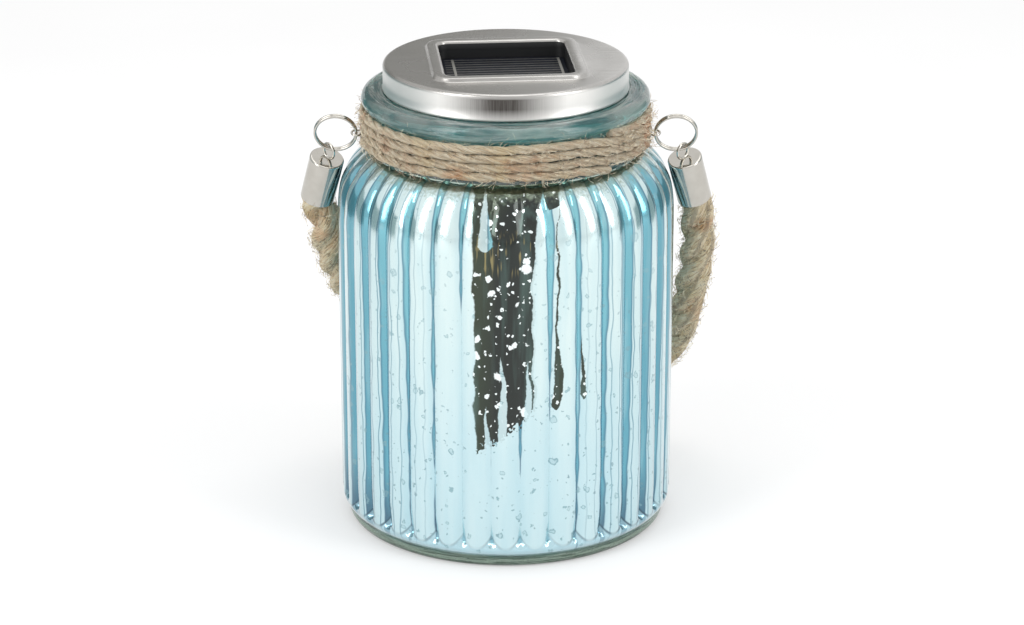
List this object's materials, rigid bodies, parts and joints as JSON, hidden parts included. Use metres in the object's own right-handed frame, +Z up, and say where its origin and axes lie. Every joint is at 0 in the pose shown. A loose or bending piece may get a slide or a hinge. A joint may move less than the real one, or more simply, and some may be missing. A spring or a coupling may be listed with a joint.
{
  "type": "jar lantern",
  "caption": "Ribbed glass jar lantern with a twine-wrapped neck, a rope handle on rings, and a lift-off metal lid that carries a solar panel, a battery, a switch and lamps.",
  "frame": {"origin": "on the jar's axis, in the plane of its base", "axes": "+Z up along the jar's axis, X along the handle's hinge line, -Y to the front; the handle hangs at the back, +Y"},
  "size_m": [0.1501, 0.1346, 0.1697],
  "materials": {
    "glass": "ribbed, tinted blue, silvered inside",
    "twine": "plied jute",
    "rope": "twisted jute",
    "ring_metal": "polished nickel plate",
    "cap_metal": "polished nickel plate",
    "lid_metal": "spun stainless steel",
    "black_plastic": "moulded ABS",
    "solar_cell": "cell under clear resin",
    "silicone": "translucent silicone",
    "screw_metal": "zinc plate",
    "board": "circuit board",
    "led": "clear warm white lamp",
    "lens": "frosted dome",
    "switch_grey": "slide switch",
    "switch_white": "slide switch knob",
    "battery": "plain sleeve",
    "contact": "nickel-plated spring steel",
    "red_wire": "insulated wire",
    "black_wire": "insulated wire"
  },
  "bodies": {
    "jar": {"jar_glass": "glass", "neck_twine": "twine", "neck_studs": "ring_metal"},
    "handle": {"neck_eye_left": "ring_metal", "neck_eye_right": "ring_metal", "split_ring_left": "ring_metal", "split_ring_right": "ring_metal", "cap_eye_left": "ring_metal", "cap_eye_right": "ring_metal", "rope_cap_left": "cap_metal", "rope_cap_right": "cap_metal", "handle_rope": "rope"},
    "lid": {"lid_cover": "lid_metal", "solar_tray": "black_plastic", "solar_panel": "solar_cell", "module_housing": "black_plastic", "seal_ring": "silicone", "bottom_cover": "black_plastic", "cover_screws": "screw_metal", "circuit_board": "board", "board_screws": "screw_metal", "leds": "led", "led_lens": "lens", "switch_body": "switch_grey", "battery_cell": "battery", "battery_spring": "contact", "battery_plate": "contact", "battery_door": "black_plastic", "door_screw": "screw_metal", "panel_wires": "red_wire", "battery_wires": "black_wire"},
    "switch": {"switch_knob": "switch_white"}
  },
  "joints": [
    {"name": "handle_swing", "type": "hinge", "parent": "jar", "child": "handle", "pos_m": [0, 0, 0.14248], "axis": [1, 0, 0], "range_deg": [0, 300]},
    {"name": "lid_lift", "type": "slide", "parent": "jar", "child": "lid", "axis": [0, 0, 1], "range_m": [0, 0.06]},
    {"name": "switch_slide", "type": "slide", "parent": "lid", "child": "switch", "axis": [0.9962, 0.0872, 0], "range_m": [0, 0.003]}
  ]
}
